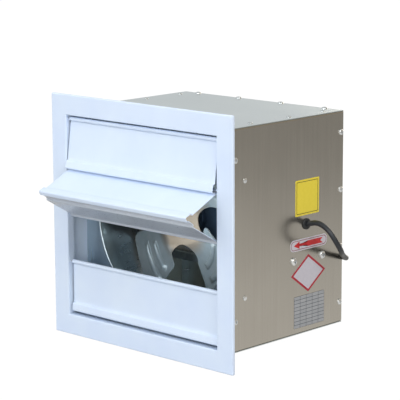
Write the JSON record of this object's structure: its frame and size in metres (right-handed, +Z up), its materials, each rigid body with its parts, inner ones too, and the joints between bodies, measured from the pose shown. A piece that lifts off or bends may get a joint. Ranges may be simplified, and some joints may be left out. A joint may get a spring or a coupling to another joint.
{
  "type": "axial wall fan",
  "caption": "Axial wall fan with gravity louvres in a square front flange, a deep stainless box housing, a pressed impeller and a motor on a bracket.",
  "frame": {"origin": "centre of the fan's axis in the plane of the wall, where the rim of the front flange's folded edge rests", "axes": "+Y along the fan's axis into the wall, away from the louvres; +Z up; +X to the right when the louvres are seen from the front"},
  "size_m": [0.3246, 0.2844, 0.3],
  "materials": {
    "painted_steel": "powder coated bluish white, satin",
    "stainless": "mill finished stainless sheet, satin",
    "zinc_steel": "zinc plated, semi-gloss",
    "impeller_sheet": "pressed stainless sheet",
    "black_cast": "black enamel, semi-gloss",
    "core_steel": "laminated electrical steel",
    "winding": "varnished copper winding",
    "rubber": "black rubber",
    "black_plastic": "moulded black plastic",
    "nylon": "natural nylon",
    "brass_pins": "nickelled brass"
  },
  "bodies": {
    "housing": {"front_frame": "painted_steel", "frame_collar": "painted_steel", "louvre_wires": "zinc_steel", "housing_left": "stainless", "housing_right": "stainless", "housing_top": "stainless", "housing_bottom": "stainless", "housing_rivets": "zinc_steel", "collar_screws": "zinc_steel", "fan_ring": "stainless", "ring_rivets": "zinc_steel", "stator_core": "core_steel", "stator_windings": "winding", "motor_shell": "black_cast", "motor_front_cover": "black_cast", "motor_rear_cover": "black_cast", "front_bearing": "zinc_steel", "rear_bearing": "zinc_steel", "motor_bolts": "zinc_steel", "motor_foot": "zinc_steel", "foot_screws": "zinc_steel", "motor_bracket": "zinc_steel", "bracket_screws": "zinc_steel", "bracket_nuts": "zinc_steel", "capacitor": "black_plastic", "capacitor_screw": "zinc_steel", "rear_plate": "stainless", "rear_plate_screws": "zinc_steel", "rear_guard": "zinc_steel", "guard_clips": "zinc_steel", "guard_clip_screws": "zinc_steel", "cable_grommet": "rubber", "inner_lead": "rubber", "power_lead": "rubber", "lead_coil": "rubber", "coil_tie": "nylon", "plug_lead": "rubber", "plug_body": "black_plastic", "plug_pins": "brass_pins"},
    "fan_rotor": {"impeller": "impeller_sheet", "impeller_hub": "zinc_steel", "hub_rivets": "zinc_steel", "hub_set_screw": "black_cast", "motor_shaft": "zinc_steel", "rotor_core": "core_steel"},
    "louvre_1": {"louvre_1": "painted_steel"},
    "louvre_2": {"louvre_2": "painted_steel"},
    "louvre_3": {"louvre_3": "painted_steel"},
    "louvre_4": {"louvre_4": "painted_steel"}
  },
  "joints": [
    {"name": "fan_spin", "type": "hinge", "parent": "housing", "child": "fan_rotor", "pos_m": [0, 0.067, 0], "axis": [0, 1, 0], "continuous": true},
    {"name": "louvre_1_swing", "type": "hinge", "parent": "housing", "child": "louvre_1", "pos_m": [0, 0.0035, 0.1195], "axis": [-1, 0, 0], "range_deg": [0, 75]},
    {"name": "louvre_2_swing", "type": "hinge", "parent": "housing", "child": "louvre_2", "pos_m": [0, 0.0035, 0.0603], "axis": [-1, 0, 0], "range_deg": [-57, 0]},
    {"name": "louvre_3_swing", "type": "hinge", "parent": "housing", "child": "louvre_3", "pos_m": [0, 0.0035, 0.0011], "axis": [-1, 0, 0], "range_deg": [-112.5, 0]},
    {"name": "louvre_4_swing", "type": "hinge", "parent": "housing", "child": "louvre_4", "pos_m": [0, 0.0035, -0.0581], "axis": [-1, 0, 0], "range_deg": [0, 70]}
  ],
  "couplings": [
    {"joint": "louvre_3_swing", "follows": "louvre_2_swing", "ratio": 1.9736}
  ]
}
